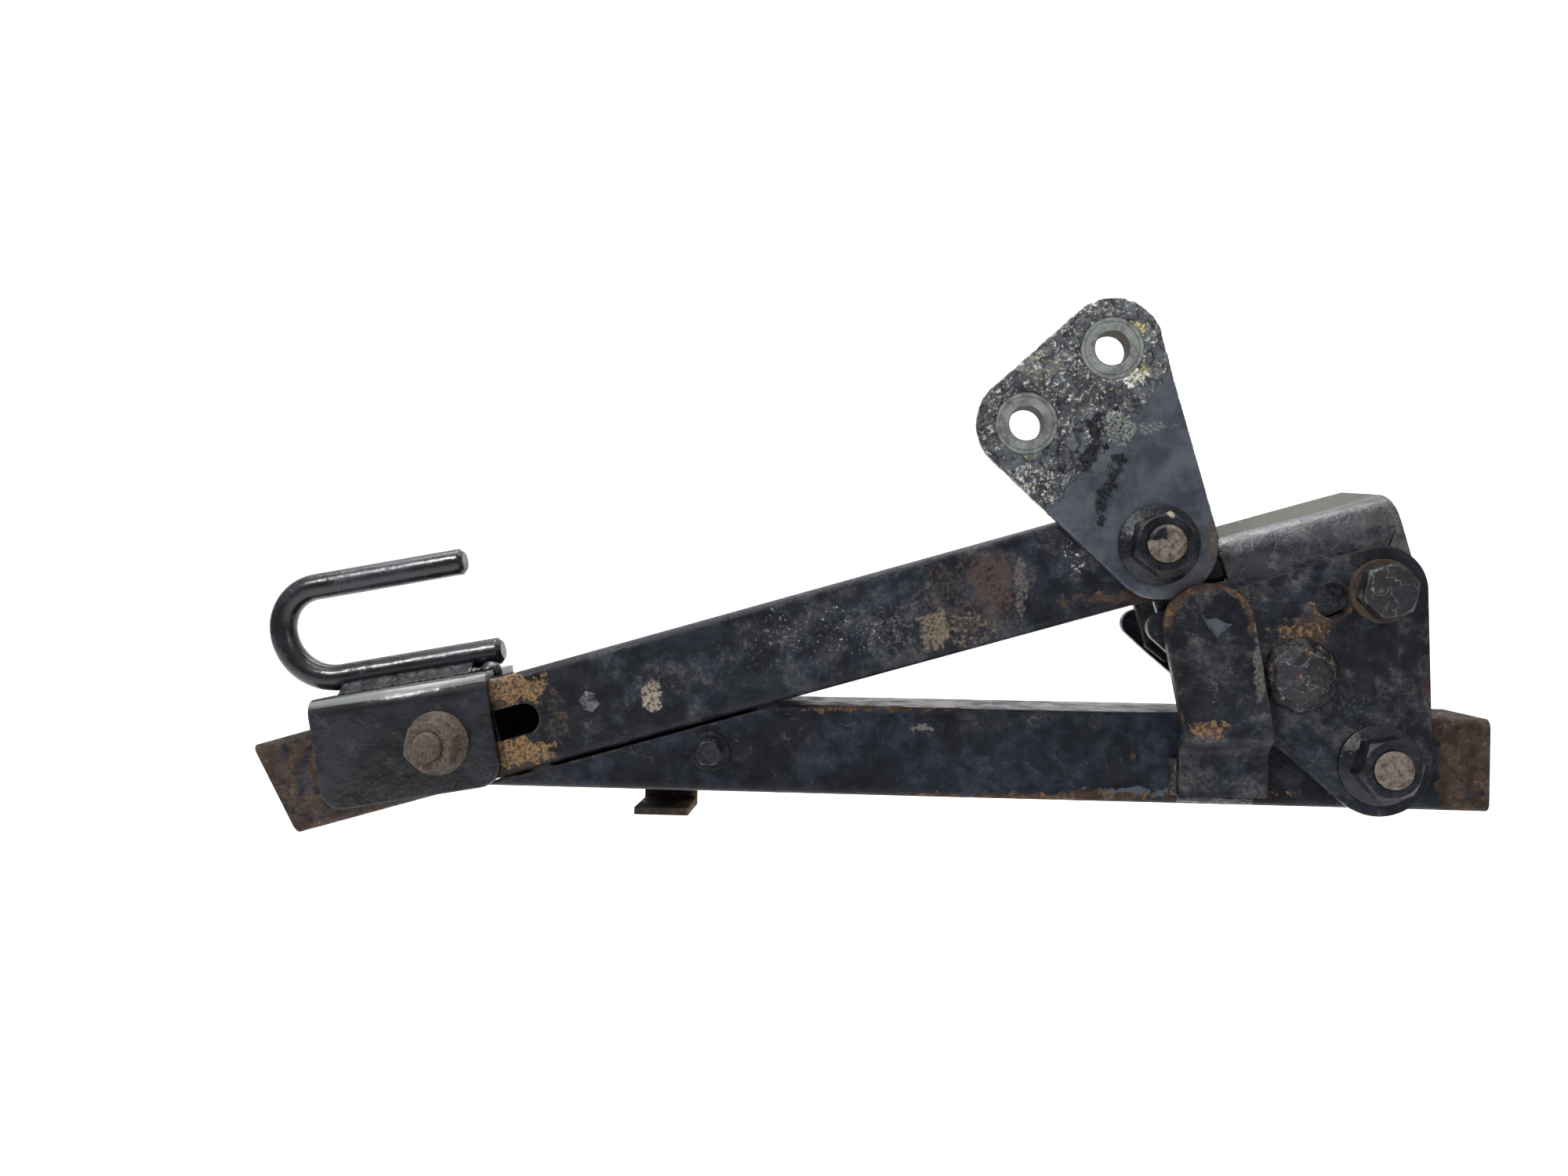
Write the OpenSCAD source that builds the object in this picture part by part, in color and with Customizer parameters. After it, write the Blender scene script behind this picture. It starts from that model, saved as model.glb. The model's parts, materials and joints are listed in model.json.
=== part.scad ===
// Gate opener arm: a slotted upper tube with a sliding hook, a swinging ear plate,
// and a second tube that folds out on a pivot between two side plates.
// X runs along the arm, Y from front to back, Z up. The origin is on the surface
// that the arm stands on, under the middle of its box.

/* [Tubes] */
// Width of the upper tube, front to back
tube_w = 38; // [36:1:42]
// Height of the upper tube
upper_h = 33.4; // [32:0.2:33.6]
// Upper tube's centreline below its pivot
upper_drop = 0.6; // [0.4:0.1:0.8]
// Height of the lower tube
lower_h = 29.9; // [29.5:0.1:31]
// Wall of both tubes
tube_wall = 3; // [2:0.5:4]
// Outer corner radius of both tubes
tube_corner = 3; // [2:0.5:4]
// Slope of the upper tube, rising to the right
upper_slope = 13.75; // [13.6:0.05:13.9]
// Upper tube's lower edge, from the upper pivot to its left end
upper_left = 306.8; // [302:0.1:310]
// Upper tube's lower edge, from the upper pivot to its right end
upper_right = 19; // [18:0.5:20]
// Slant of the upper tube's left end
left_cut = 12; // [8:1:14]
// Slant of the upper tube's right end
right_cut = 6; // [5:0.5:7]
// Slope of the lower tube when folded, falling to the right
lower_slope = 2.6; // [2.5:0.1:2.8]
// Lower tube, from its pivot to its right end
lower_right = 36.8; // [36:0.1:38]
// Lower tube, from its pivot to its left tip
lower_left = 293; // [286:1:296]
// Lower tube's centreline above its pivot
lower_rise = -0.4; // [-0.6:0.1:0.2]
// Gap between the lower tube and each side plate
lower_gap = 0.5; // [0.3:0.1:0.8]

/* [Pivots] */
// Upper pivot's place along X
upper_x = 102.6; // [102:0.1:104]
// Lower pivot's place along X
lower_x = 169.6; // [169:0.1:171]
// Pivot bolt diameter
pivot_d = 12; // [10:1:12]
// Flange diameter of the pivot nuts
pivot_flange_d = 26; // [24:1:27]
// Width across the flats of the pivot nuts
pivot_flats = 18; // [17:1:19]
// Height of the pivot nuts
pivot_nut_h = 11.5; // [10:0.5:12]
// Bolt end standing out of a pivot nut
stud_end = 2; // [1:0.5:3]

/* [Ear] */
// Ear plate thickness
ear_t = 4.9; // [4:0.1:5.5]
// Radius of the ear plate round its pivot
ear_pivot_r = 17.9; // [17:0.1:19]
// Radius of the ear plate round its bushes
ear_bush_r = 16.1; // [14:0.1:17]
// Pivot to the upper bush
ear_reach_a = 65.3; // [62:0.1:68]
// Direction of the upper bush from the pivot
ear_angle_a = 101.2; // [98:0.1:104]
// Pivot to the lower bush
ear_reach_b = 57.8; // [55:0.1:60]
// Direction of the lower bush from the pivot
ear_angle_b = 135; // [131:0.1:138]
// Bore of the bushes
bush_bore = 11; // [10:0.5:12]
// Outer diameter of the bushes
bush_d = 20.5; // [19:0.5:22]
// Length of the bushes
bush_l = 9.5; // [8:0.5:10]

/* [Side plates and channel] */
// Side plate thickness
plate_t = 5; // [4:0.5:5]
// Radius of the side plates round the lower pivot
plate_pivot_r = 16.6; // [16:0.1:17]
// Radius of the side plates round the clamp bolt
plate_clamp_r = 14.4; // [13:0.1:15]
// Clamp bolt's height above the lower pivot
clamp_rise = 55.5; // [54:0.5:57]
// Clamp bolt diameter
clamp_d = 10; // [8:1:10]
// Spare hole diameter
spare_d = 11.5; // [10:0.5:12]
// Spare hole to clamp bolt
spare_pitch = 15.3; // [15:0.1:17]
// Channel plate thickness
channel_t = 3.2; // [2.5:0.1:4]
// Channel's top below the upper tube's centreline, at the front
channel_drop = 3.6; // [3:0.1:4]
// Rise of the channel's top from front to back
channel_rise = 3.2; // [2:0.1:3.4]
// Height of the channel's front flange
channel_h = 38.6; // [38:0.1:39]
// Outer radius of the channel's bends
channel_bend = 9; // [7:0.5:10]
// Channel's end, from the upper pivot along the tube
channel_reach = 77.5; // [75:0.5:79]
// Slant of the channel's end, shorter at the back
channel_cut = 10; // [0:1:15]

/* [Stop] */
// Diameter of the cross rivet's shank
rivet_d = 12; // [10:1:12]
// Diameter of the cross rivet's heads
rivet_head_d = 24; // [22:0.5:24.5]
// Height of the cross rivet's heads
rivet_head_h = 7.5; // [6:0.5:9]
// Thickness of the stop tab
tab_t = 4; // [3:0.5:4.5]
// Radius of the stop tab's round top
tab_r = 14.2; // [13:0.1:14.4]

/* [Hook] */
// Hook bolt, from the upper pivot down the tube
hook_back = 248.7; // [245:0.1:252]
// Slope of the hook against the tube
hook_lean = 6; // [5:0.5:6.5]
// Thickness of the hook saddle
saddle_t = 3.1; // [2.8:0.1:3.1]
// Length of the hook saddle
saddle_l = 63.3; // [60:0.1:64]
// Outer radius of the saddle's bend
saddle_bend = 6; // [5:0.5:7]
// Diameter of the hook rod
rod_d = 9.5; // [8:0.5:10]
// Half the distance between the hook rod's legs, centreline to centreline
rod_bend = 16.8; // [16:0.1:18]
// Centreline radius of the hook rod's upper bend, the lower one being wider
rod_ease = 14.6; // [14:0.2:16]
// Hook bolt diameter
hook_bolt_d = 10; // [8:1:10]
// Travel of the hook towards the pivot
travel_in = 30; // [20:1:30]
// Travel of the hook towards the tube's end
travel_out = 10; // [4:1:10]

/* [Latch] */
// Latch bolt, from the lower pivot down the tube
latch_back = 216; // [210:1:220]
// Latch bolt diameter
latch_bolt_d = 6; // [5:1:6]
// Width of the latch lug's foot
foot_w = 19.3; // [16:0.1:20]
// Thickness of the latch lug
lug_t = 2.8; // [2:0.2:3]

/* [Hidden] */
$fn = 64;
half_w = tube_w / 2;
upper_half = upper_h / 2;
upper_low = -upper_half - upper_drop;
upper_z = upper_left * sin(upper_slope) - upper_low * cos(upper_slope);
lower_z = lower_right * sin(lower_slope) + (lower_h / 2 - lower_rise) * cos(lower_slope);
lower_half_w = half_w - lower_gap;
plate_out = half_w + plate_t;
run = 0.05;
touch = 0.1;
tuck = 0.02;
bite = 1;
big = 100;

clamp = [lower_x + 2.6, lower_z + clamp_rise];
spare = clamp - spare_pitch * [cos(10), sin(10)];
rivet = [lower_x - 23.5, lower_z + 29.2];
plate_rounds = [
    [lower_x, lower_z, plate_pivot_r],
    [clamp[0], clamp[1], plate_clamp_r],
    [upper_x + 1.1, upper_z - 27, 5],
    [upper_x + 9.6, upper_z - 34, 6]
];

pivot_head = 8;
clamp_washer_t = 2;
clamp_head = 6.5;
clamp_nut_h = 8.5;

ear_washer_t = 1;
ear_back = half_w + ear_washer_t + run;
ear_front = ear_back + ear_t;
nut_seat = ear_front + run;
front_end = nut_seat + pivot_nut_h + stud_end;

bush_a = [upper_x, upper_z] + ear_reach_a * [cos(ear_angle_a), sin(ear_angle_a)];
bush_b = [upper_x, upper_z] + ear_reach_b * [cos(ear_angle_b), sin(ear_angle_b)];

hook_nut_h = 10;
slide_t = 4;
slide_l = 36;
slide_seat = -half_w + tube_wall + touch + slide_t;
slot_w = hook_bolt_d + 0.6;
slot_in = -hook_back + travel_in + slot_w / 2;
slot_out = -hook_back - travel_out - slot_w / 2;
saddle_left = -43.7;
saddle_low = -17.3;
saddle_top = 21.4;
saddle_back = 18;
rod_gap = 1.3;
rod_low = saddle_top + rod_gap + rod_d / 2;
rod_start = 20.8;
rod_turn = -41.4;
rod_end = 12.4;
weld_right = 11;

tab_top = [-54.7, 43.2];
tab_left = -62;
tab_right = -34;
tab_low = -12;
tab_crease = 8.5;
tab_back = ear_front + 0.4;
tab_step = 7;
tab_lift = 1.7;

latch_t = -1.5;
foot_low = -26.8;
foot_front = -2;
lug_left = -245.2;
lug_right = -206;

paint = [0.13, 0.14, 0.17];
gloss = [0.10, 0.11, 0.13];
rust = [0.38, 0.28, 0.20];
zinc = [0.45, 0.47, 0.46];

// ---- frames ----

module in_upper() {
    translate([upper_x, 0, upper_z]) rotate([0, -upper_slope, 0]) children();
}

module in_lower() {
    translate([lower_x, 0, lower_z]) rotate([0, lower_slope, 0]) children();
}

module in_hook() {
    in_upper() translate([-hook_back, 0, 0]) rotate([0, hook_lean, 0]) children();
}

// ---- shared shapes ----

// Upright outline in X and Z, made solid from y = from to y = to
module wall(from, to) {
    translate([0, to, 0]) rotate([90, 0, 0]) linear_extrude(to - from) children();
}

// Section in Y and Z, made solid from x = from to x = to
module along(from, to) {
    translate([from, 0, 0]) rotate([90, 0, 90]) linear_extrude(to - from) children();
}

// Round bar along Y at a point in X and Z
module bar(at, d, from, to) {
    translate([at[0], from, at[1]]) rotate([-90, 0, 0]) cylinder(d = d, h = to - from);
}

// Rectangle with round corners, centred
module round_rect(w, h, r) {
    square([w - 2 * r, h], center = true);
    square([w, h - 2 * r], center = true);
    for (x = [-1, 1], y = [-1, 1])
        translate([x * (w / 2 - r), y * (h / 2 - r)]) circle(r);
}

// Point where the belt round two circles leaves the circle a
function leave(a, b, grow) =
    let (d = [b[0] - a[0], b[1] - a[1]])
    let (turn = atan2(d[1], d[0]) - acos((a[2] - b[2]) / norm(d)))
    [a[0] + (a[2] + grow - tuck) * cos(turn), a[1] + (a[2] + grow - tuck) * sin(turn)];

// Point where the belt meets the circle b
function meet(a, b, grow) =
    let (d = [b[0] - a[0], b[1] - a[1]])
    let (turn = atan2(d[1], d[0]) - acos((a[2] - b[2]) / norm(d)))
    [b[0] + (b[2] + grow - tuck) * cos(turn), b[1] + (b[2] + grow - tuck) * sin(turn)];

// Belt round circles [x, y, r], listed anticlockwise
module belt(rounds, grow = 0) {
    n = len(rounds);
    polygon([for (i = [0:n - 1]) let (a = rounds[i], b = rounds[(i + 1) % n])
        each [leave(a, b, grow), meet(a, b, grow)]]);
    for (c = rounds) translate([c[0], c[1]]) circle(c[2] + grow);
}

// Hexagon prism standing on z = 0, its top corners bevelled
module hex_prism(flats, h) {
    corners = flats / cos(30);
    intersection() {
        cylinder(d = corners, h = h, $fn = 6);
        cylinder(d1 = corners + 2 * h, d2 = flats - 0.6, h = h + 0.01);
    }
}

// Flange nut on z = 0, opening upwards
module flange_nut(d, flange_d, flats, h) {
    rim = h * 0.12;
    difference() {
        union() {
            cylinder(d = flange_d, h = rim);
            translate([0, 0, rim]) cylinder(d1 = flange_d, d2 = flats * 1.05, h = h * 0.2);
            translate([0, 0, rim]) hex_prism(flats, h - rim);
        }
        translate([0, 0, -bite]) cylinder(d = d + 2 * run, h = h + 2 * bite);
    }
}

// Bolt whose head stands on z = 0 and whose shank goes down
module bolt(d, shank, head, flats, flange_d) {
    rim = head * 0.2;
    cylinder(d = flange_d, h = rim);
    hex_prism(flats, head);
    translate([0, 0, 1 - shank]) cylinder(d = d, h = shank - 1 + rim / 2);
    translate([0, 0, -shank]) cylinder(d1 = d - 2, d2 = d, h = 1);
}

module facing_front(at, y) {
    translate([at[0], y, at[1]]) rotate([90, 0, 0]) children();
}

module facing_back(at, y) {
    translate([at[0], y, at[1]]) rotate([-90, 0, 0]) children();
}

module ring(od, id, h) {
    difference() {
        cylinder(d = od, h = h);
        translate([0, 0, -bite]) cylinder(d = id, h = h + 2 * bite);
    }
}

module tube_section(w, h) {
    difference() {
        round_rect(w, h, tube_corner);
        round_rect(w - 2 * tube_wall, h - 2 * tube_wall, tube_corner / 3);
    }
}

// ---- main arm ----

module upper_tube() {
    color(paint) in_upper() difference() {
        translate([0, 0, -upper_drop]) along(-upper_left - 10, upper_right)
            tube_section(tube_w, upper_h);
        translate([-upper_left, 0, upper_low]) rotate([0, -left_cut, 0])
            translate([-big, -big, -big]) cube([big, 2 * big, 2 * big]);
        translate([upper_right, 0, upper_low]) rotate([0, -right_cut, 0])
            translate([0, -big, -big]) cube([big, 2 * big, 2 * big]);
        wall(-big, 0) {
            translate([slot_in - slot_w / 2, 0]) circle(d = slot_w);
            translate([slot_out + slot_w / 2, 0]) circle(d = slot_w);
            translate([slot_out + slot_w / 2, -slot_w / 2])
                square([slot_in - slot_out - slot_w, slot_w]);
        }
        bar([0, 0], pivot_d + 0.4, -big, big);
    }
}

module upper_pivot_sleeve() {
    inner = half_w - tube_wall;
    color(rust) facing_back([upper_x, upper_z], -inner) ring(18, pivot_d + 0.4, 2 * inner);
}

// Round corner of the channel, front (-1) or back (1)
function channel_corner(side, drop, r) = [side * (half_w - channel_bend), -drop - channel_bend, r];

module channel_loop(r) {
    low = channel_drop + channel_h;
    belt([
        channel_corner(-1, low, r), channel_corner(1, low, r),
        channel_corner(1, channel_drop - channel_rise, r), channel_corner(-1, channel_drop, r)
    ]);
}

module channel_section() {
    difference() {
        channel_loop(channel_bend);
        channel_loop(channel_bend - channel_t);
    }
}

module channel_outline() {
    low = -channel_drop - channel_h;
    polygon([
        [upper_right + 0.3, 0], [channel_reach, 0], [channel_reach, -28],
        [channel_reach - 5, low], [0, low], [-5, low + 7],
        [-5, upper_low], [upper_right + 0.3, upper_low]
    ]);
}

module channel_cover() {
    color(paint) difference() {
        in_upper() intersection() {
            along(-20, channel_reach) channel_section();
            wall(-big, big) channel_outline();
        }
        bar(clamp, clamp_d + 0.4, -big, big);
        in_upper() translate([channel_reach, -half_w, -big]) rotate([0, 0, channel_cut])
            cube([big, 2 * big, 2 * big]);
    }
}

// Bead that closes the step between the tube's end and the channel's top
module channel_weld() {
    color(rust) in_upper() difference() {
        translate([upper_right - 1, -half_w + channel_bend, -channel_drop])
            rotate([-90, 0, 0]) cylinder(r = 5, h = tube_w - 2 * channel_bend);
        translate([-big, -big, -2 * big]) cube([big + upper_right + 0.3, 2 * big, 4 * big]);
        along(0, big) channel_loop(channel_bend);
        translate([0, -big, -big - channel_drop]) cube([big, 2 * big, big]);
        translate([upper_right, 0, upper_low]) rotate([0, -right_cut, 0])
            translate([-big, -big, 0]) cube([big, 2 * big, big]);
    }
}

module side_outline(grow = 0) {
    belt(plate_rounds, grow);
}

module side_plate() {
    difference() {
        wall(0, plate_t) side_outline();
        bar(clamp, clamp_d + 0.4, -bite, plate_t + bite);
        bar(spare, spare_d, -bite, plate_t + bite);
        bar(rivet, rivet_d + 2 * run, -bite, plate_t + bite);
        bar([lower_x, lower_z], pivot_d + 0.4, -bite, plate_t + bite);
    }
}

module side_plate_front() {
    color(paint) translate([0, -plate_out, 0]) side_plate();
}

module side_plate_rear() {
    color(paint) translate([0, half_w, 0]) side_plate();
}

module clamp_bolt() {
    length = plate_out + clamp_washer_t + front_end;
    color(rust) facing_front(clamp, -plate_out - clamp_washer_t)
        rotate([0, 0, 15]) bolt(clamp_d, length, clamp_head, 16, 15);
}

module clamp_washer() {
    color(rust) facing_front(clamp, -plate_out) ring(20.5, clamp_d + 0.4, clamp_washer_t);
}

module clamp_nut() {
    color(rust) facing_back(clamp, plate_out) flange_nut(clamp_d, 21.8, 16, clamp_nut_h);
}

// Dome of a given base diameter and height, standing on z = 0
module dome(d, h) {
    r = (d * d / 4 + h * h) / (2 * h);
    intersection() {
        translate([0, 0, h - r]) sphere(r);
        cylinder(d = d, h = h + bite);
    }
}

module cross_rivet() {
    color(paint) {
        bar(rivet, rivet_d, -plate_out - bite, plate_out + bite);
        facing_front(rivet, -plate_out) dome(rivet_head_d, rivet_head_h);
        facing_back(rivet, plate_out) dome(rivet_head_d, rivet_head_h);
    }
}

module upper_pivot_bolt() {
    color(rust) facing_back([upper_x, upper_z], half_w)
        bolt(pivot_d, half_w + front_end, pivot_head, pivot_flats, pivot_flange_d);
}

module upper_pivot_nut() {
    color(gloss) facing_front([upper_x, upper_z], -nut_seat)
        rotate([0, 0, 20]) flange_nut(pivot_d, pivot_flange_d, pivot_flats, pivot_nut_h);
}

module ear_washer() {
    color(rust) facing_front([upper_x, upper_z], -half_w)
        ring(pivot_flange_d, pivot_d + 0.4, ear_washer_t);
}

module lower_pivot_bolt() {
    length = 2 * plate_out + pivot_nut_h + stud_end;
    color(rust) facing_back([lower_x, lower_z], plate_out)
        bolt(pivot_d, length, pivot_head, pivot_flats, pivot_flange_d);
}

module lower_pivot_nut() {
    color(gloss) facing_front([lower_x, lower_z], -plate_out)
        rotate([0, 0, 8]) flange_nut(pivot_d, pivot_flange_d, pivot_flats, pivot_nut_h);
}

// ---- ear ----

module ear_plate() {
    color(gloss) difference() {
        wall(-ear_front, -ear_back) belt([
            [upper_x + 1.2, upper_z, ear_pivot_r],
            [bush_a[0], bush_a[1], ear_bush_r],
            [bush_b[0], bush_b[1], ear_bush_r]
        ]);
        bar([upper_x, upper_z], pivot_d + 2 * run, -big, 0);
        for (at = [bush_a, bush_b]) bar(at, bush_d, -big, 0);
    }
}

module ear_bushes() {
    color(zinc) for (at = [bush_a, bush_b])
        facing_back(at, -ear_front) ring(bush_d, bush_bore, bush_l);
}

// ---- lower arm ----

// Cuts the lower arm off where it lies against the upper tube
module below_upper() {
    in_upper() translate([-2 * upper_left, -big, upper_low - 1])
        cube([2 * upper_left, 2 * big, big]);
}

module lower_tube() {
    color(paint) difference() {
        in_lower() difference() {
            translate([0, 0, lower_rise]) along(-lower_left, lower_right)
                tube_section(2 * lower_half_w, lower_h);
            bar([0, 0], 20 + 2 * run, -big, big);
            bar([-latch_back, latch_t], latch_bolt_d + 0.4, -big, big);
        }
        below_upper();
    }
}

module lower_pivot_sleeve() {
    reach = half_w - run;
    color(rust) facing_back([lower_x, lower_z], -reach)
        ring(20, pivot_d + 2 * run, 2 * reach);
}

// Y of the tab's back face at height t: on the tube's face below the crease,
// out in front of the side plate above it
function tab_face(t) =
    let (u = min(1, max(0, (t - tab_crease + tab_step) / tab_step)))
    -lower_half_w - (tab_back - lower_half_w) * (1 - cos(180 * u)) / 2;

// The outer face starts its bend lower than the back face, so the bend keeps its thickness
module tab_section() {
    top = tab_top[1] + tab_r;
    bends = [for (i = [0:10]) tab_crease - tab_step + i * tab_step / 10];
    polygon([
        [tab_face(tab_low), tab_low],
        for (t = bends) [tab_face(t), t + tab_lift],
        [tab_face(top), top],
        [tab_face(top) - tab_t, top],
        for (i = [10:-1:0]) [tab_face(bends[i]) - tab_t, bends[i]],
        [tab_face(tab_low) - tab_t, tab_low]
    ]);
}

module stop_tab() {
    color(paint) difference() {
        in_lower() intersection() {
            along(tab_left - 20, tab_right + 5) tab_section();
            wall(-big, 0) union() {
                belt([
                    [tab_top[0], tab_top[1], tab_r],
                    [tab_left + 1, tab_crease, 1],
                    [tab_right - 1, tab_crease, 1]
                ]);
                translate([tab_left, tab_low]) square([tab_right - tab_left, tab_crease - tab_low]);
            }
        }
        wall(-plate_out - 0.5, 0) side_outline(0.8);
    }
}

// Fillet bead along the tab's lower and left edges
module tab_weld() {
    bead = 2.5;
    color(paint) in_lower() difference() {
        union() {
            translate([tab_left, -lower_half_w, tab_low]) rotate([0, 90, 0])
                cylinder(r = bead, h = tab_right - tab_left - 4);
            translate([tab_left, -lower_half_w, tab_low]) cylinder(r = bead, h = 12);
        }
        translate([-big, -lower_half_w, -big]) cube(2 * big);
        translate([tab_left, -lower_half_w - tab_t - bite, tab_low])
            cube([tab_right - tab_left, tab_t + 2 * bite, tab_crease - tab_low]);
    }
}

module latch_lug() {
    back = lower_half_w;
    color(paint) difference() {
        in_lower() {
            difference() {
                wall(back, back + lug_t) union() {
                    translate([lug_left, -11]) square([lug_right - lug_left, 19]);
                    translate([lug_left, foot_low + lug_t]) square([foot_w, -foot_low - lug_t - 10]);
                }
                bar([-latch_back, latch_t], latch_bolt_d + 0.4, 0, big);
            }
            translate([lug_left, foot_front, foot_low])
                cube([foot_w, back + lug_t - foot_front, lug_t]);
        }
        below_upper();
    }
}

module latch_bolt() {
    length = 2 * lower_half_w + lug_t + 5 + stud_end;
    color(paint) in_lower() facing_front([-latch_back, latch_t], -lower_half_w)
        bolt(latch_bolt_d, length, 5.5, 8, 13);
}

module latch_nut() {
    color(rust) in_lower() facing_back([-latch_back, latch_t], lower_half_w + lug_t)
        flange_nut(latch_bolt_d, 13, 10, 5);
}

// ---- hook ----

module hook_saddle() {
    face = half_w + touch;
    out = face + saddle_t;
    right = saddle_left + saddle_l;
    corner = 7.5;
    color(gloss) in_hook() {
        difference() {
            wall(-out, -face) union() {
                translate([saddle_left, saddle_low + corner])
                    square([saddle_l, saddle_top - saddle_bend - saddle_low - corner]);
                translate([saddle_left + corner, saddle_low]) square([saddle_l - 2 * corner, 2 * corner]);
                for (x = [saddle_left + corner, right - corner])
                    translate([x, saddle_low + corner]) circle(corner);
            }
            bar([0, 0], hook_bolt_d + 0.4, -big, 0);
        }
        along(saddle_left, right) intersection() {
            translate([-out + saddle_bend, saddle_top - saddle_bend]) difference() {
                circle(saddle_bend);
                circle(saddle_bend - saddle_t);
            }
            translate([-out, saddle_top - saddle_bend]) square(saddle_bend);
        }
        translate([0, 0, saddle_top - saddle_t]) linear_extrude(saddle_t) {
            translate([saddle_left, -out + saddle_bend])
                square([saddle_l, saddle_back + out - saddle_bend - corner]);
            translate([saddle_left + corner, 0]) square([saddle_l - 2 * corner, saddle_back]);
            for (x = [saddle_left + corner, right - corner])
                translate([x, saddle_back - corner]) circle(corner);
        }
    }
}

// Round rod along X from one point to the next, its right end bevelled
module rod_leg(from, to, z) {
    bevel = 1.5;
    translate([from, 0, z]) rotate([0, 90, 0]) cylinder(d = rod_d, h = to - from - bevel);
    translate([to - bevel, 0, z]) rotate([0, 90, 0])
        cylinder(d1 = rod_d, d2 = rod_d - 2 * bevel, h = bevel);
}

// Part of a round rod's ring, turned about a point in X and Z from one angle to another
module rod_arc(at, r, from, to) {
    translate([at[0], 0, at[1]]) rotate([90, 0, 0]) rotate([0, 0, from])
        rotate_extrude(angle = to - from) translate([r, 0]) circle(d = rod_d);
}

module hook_rod() {
    high = rod_low + 2 * rod_bend;
    left = rod_turn - rod_bend;
    wide = 2 * rod_bend - rod_ease;
    color(gloss) in_hook() {
        rod_leg(left + wide, rod_start, rod_low);
        rod_leg(left + rod_ease, rod_end, high);
        rod_arc([left + rod_ease, high - rod_ease], rod_ease, 90, 180);
        rod_arc([left + wide, high - rod_ease], wide, 180, 270);
    }
}
module rod_weld() {
    right = saddle_left + saddle_l;
    lump = 4;
    clear = 0.6;
    color(gloss) in_hook() difference() {
        union() {
            along(rod_turn + 4, weld_right) polygon([
                [-11, saddle_top], [9, saddle_top],
                [4.2, rod_low - 1.9], [-4.2, rod_low - 1.9]
            ]);
            translate([right - 2.3, -7, saddle_top - 1]) sphere(lump);
        }
        translate([rod_turn - bite, 0, rod_low]) rotate([0, 90, 0])
            cylinder(d = rod_d, h = rod_start - rod_turn + 2 * bite);
        translate([saddle_left, -big, saddle_top - big]) cube([saddle_l, 2 * big, big]);
        translate([right - bite, -big, saddle_top - saddle_t + clear - big])
            cube([big, 2 * big, big]);
    }
}

module hook_bolt() {
    length = slide_seat + half_w + touch + saddle_t + hook_nut_h + stud_end;
    color(rust) in_hook() facing_back([0, 0], slide_seat) bolt(hook_bolt_d, length, 6.5, 16, 18);
}

module hook_nut() {
    color(rust) in_hook() facing_front([0, 0], -half_w - touch - saddle_t)
        rotate([0, 0, 10]) flange_nut(hook_bolt_d, 21.8, 16, hook_nut_h);
}

// Clamp plate that slides inside the tube, behind the slot
module hook_slide() {
    height = upper_h - 2 * tube_wall - 1.5;
    color(rust) in_upper() translate([-hook_back, 0, 0]) difference() {
        translate([0, 0, -upper_drop]) wall(slide_seat - slide_t, slide_seat)
            square([slide_l, height], center = true);
        bar([0, 0], hook_bolt_d + 0.4, -big, big);
    }
}

upper_tube();
upper_pivot_sleeve();
channel_cover();
channel_weld();
side_plate_front();
side_plate_rear();
clamp_bolt();
clamp_washer();
clamp_nut();
cross_rivet();
upper_pivot_bolt();
upper_pivot_nut();
ear_washer();
lower_pivot_bolt();
lower_pivot_nut();
ear_plate();
ear_bushes();
lower_tube();
lower_pivot_sleeve();
stop_tab();
tab_weld();
latch_lug();
latch_bolt();
latch_nut();
hook_saddle();
hook_rod();
rod_weld();
hook_bolt();
hook_nut();
hook_slide();
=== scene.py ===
import json
import math
import random

import bmesh
import bpy
from mathutils import Matrix, Vector, noise

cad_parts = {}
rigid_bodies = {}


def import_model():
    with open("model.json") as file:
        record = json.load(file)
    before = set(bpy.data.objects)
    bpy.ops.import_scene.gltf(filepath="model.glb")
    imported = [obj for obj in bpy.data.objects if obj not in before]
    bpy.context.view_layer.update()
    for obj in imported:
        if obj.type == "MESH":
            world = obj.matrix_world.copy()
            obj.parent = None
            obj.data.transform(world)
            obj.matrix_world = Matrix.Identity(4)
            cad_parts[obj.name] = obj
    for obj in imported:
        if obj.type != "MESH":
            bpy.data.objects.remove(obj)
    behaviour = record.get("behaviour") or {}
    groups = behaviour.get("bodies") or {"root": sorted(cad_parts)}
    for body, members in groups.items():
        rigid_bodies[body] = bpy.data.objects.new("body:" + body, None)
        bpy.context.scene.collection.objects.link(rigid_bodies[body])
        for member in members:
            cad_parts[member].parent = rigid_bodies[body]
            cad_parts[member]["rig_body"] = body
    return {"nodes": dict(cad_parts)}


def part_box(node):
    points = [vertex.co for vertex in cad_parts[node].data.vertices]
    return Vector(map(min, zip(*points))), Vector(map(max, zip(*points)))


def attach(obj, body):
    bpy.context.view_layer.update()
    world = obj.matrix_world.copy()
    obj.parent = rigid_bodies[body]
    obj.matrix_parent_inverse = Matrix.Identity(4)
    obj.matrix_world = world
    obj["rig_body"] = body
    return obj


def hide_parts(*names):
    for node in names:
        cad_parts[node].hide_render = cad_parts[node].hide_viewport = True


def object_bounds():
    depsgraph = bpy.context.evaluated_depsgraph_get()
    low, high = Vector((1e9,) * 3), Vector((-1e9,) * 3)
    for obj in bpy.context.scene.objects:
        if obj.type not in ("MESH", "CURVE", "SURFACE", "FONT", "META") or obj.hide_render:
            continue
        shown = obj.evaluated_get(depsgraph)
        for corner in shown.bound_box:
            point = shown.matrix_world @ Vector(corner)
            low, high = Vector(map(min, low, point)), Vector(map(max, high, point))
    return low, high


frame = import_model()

CAD_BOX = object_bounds()
NODES = frame["nodes"]

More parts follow.
